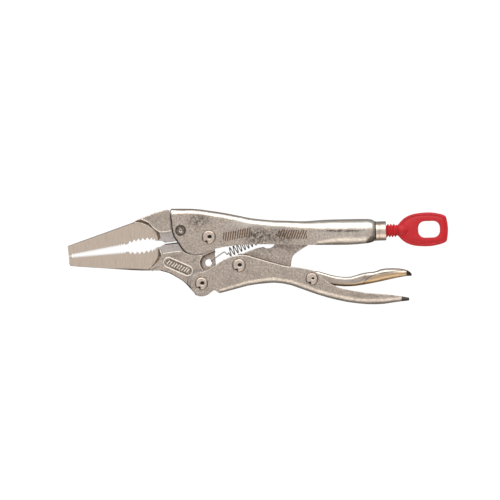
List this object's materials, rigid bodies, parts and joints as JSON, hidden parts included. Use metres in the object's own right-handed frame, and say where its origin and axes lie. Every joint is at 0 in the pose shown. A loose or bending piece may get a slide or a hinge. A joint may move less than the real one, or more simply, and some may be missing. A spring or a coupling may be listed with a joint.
{
  "type": "locking pliers",
  "caption": "Long-nose locking pliers with toothed jaws, toggle-linked handles, a release lever and a coated adjusting screw with a slotted thumb key.",
  "frame": {"origin": "on the resting plane, under the middle of the tool's bounding box", "axes": "+X from the jaw tips to the thumb key, +Y from the lower handle to the upper handle, +Z through the tool's thickness"},
  "size_m": [0.2282, 0.0574, 0.0166],
  "materials": {
    "nickel_sheet": "satin nickel plating over stamped sheet",
    "forged_steel": "nickel plated forging with ground faces",
    "rivet_steel": "smooth satin plating",
    "spring_steel": "bright drawn wire",
    "red_coating": "semi-matt red coating"
  },
  "bodies": {
    "upper_handle": {"upper_handle": "nickel_sheet", "fixed_jaw": "forged_steel", "fixed_jaw_pin": "rivet_steel", "main_pivot_rivet": "rivet_steel", "screw_nut": "rivet_steel", "tension_spring": "spring_steel"},
    "movable_jaw": {"movable_jaw": "forged_steel"},
    "lower_handle": {"lower_handle": "nickel_sheet", "jaw_handle_rivet": "rivet_steel", "link_rivet": "rivet_steel", "lever_rivet": "rivet_steel"},
    "toggle_link": {"toggle_link": "nickel_sheet"},
    "release_lever": {"release_lever": "nickel_sheet"},
    "adjusting_screw": {"adjusting_screw": "red_coating"},
    "thumb_key": {"thumb_key": "red_coating"}
  },
  "joints": [
    {"name": "jaw_pivot", "type": "hinge", "parent": "upper_handle", "child": "movable_jaw", "pos_m": [-0.02941, 0.01163, 0.0083], "axis": [0, 0, 1], "range_deg": [0, 25], "deforming": ["tension_spring"]},
    {"name": "handle_pivot", "type": "hinge", "parent": "movable_jaw", "child": "lower_handle", "pos_m": [-0.03381, -0.01617, 0.0083], "axis": [0, 0, 1], "range_deg": [-65.5, 0]},
    {"name": "link_pivot", "type": "hinge", "parent": "lower_handle", "child": "toggle_link", "pos_m": [-0.01131, -0.00527, 0.0083], "axis": [0, 0, 1], "range_deg": [0, 69.2]},
    {"name": "lever_pivot", "type": "hinge", "parent": "lower_handle", "child": "release_lever", "pos_m": [0.03239, -0.01337, 0.0083], "axis": [0, 0, 1], "range_deg": [-8, 0]},
    {"name": "screw_travel", "type": "slide", "parent": "upper_handle", "child": "adjusting_screw", "axis": [0.9994, 0.0349, 0], "range_m": [0, 0.014]},
    {"name": "screw_turn", "type": "hinge", "parent": "adjusting_screw", "child": "thumb_key", "pos_m": [0.07379, 0.01533, 0.0083], "axis": [0.9994, 0.0349, 0], "range_deg": [0, 2880]}
  ],
  "couplings": [
    {"joint": "handle_pivot", "follows": "jaw_pivot", "ratio": -2.618},
    {"joint": "link_pivot", "follows": "jaw_pivot", "ratio": 2.766},
    {"joint": "screw_turn", "follows": "screw_travel", "rad_per_m": 3590}
  ]
}
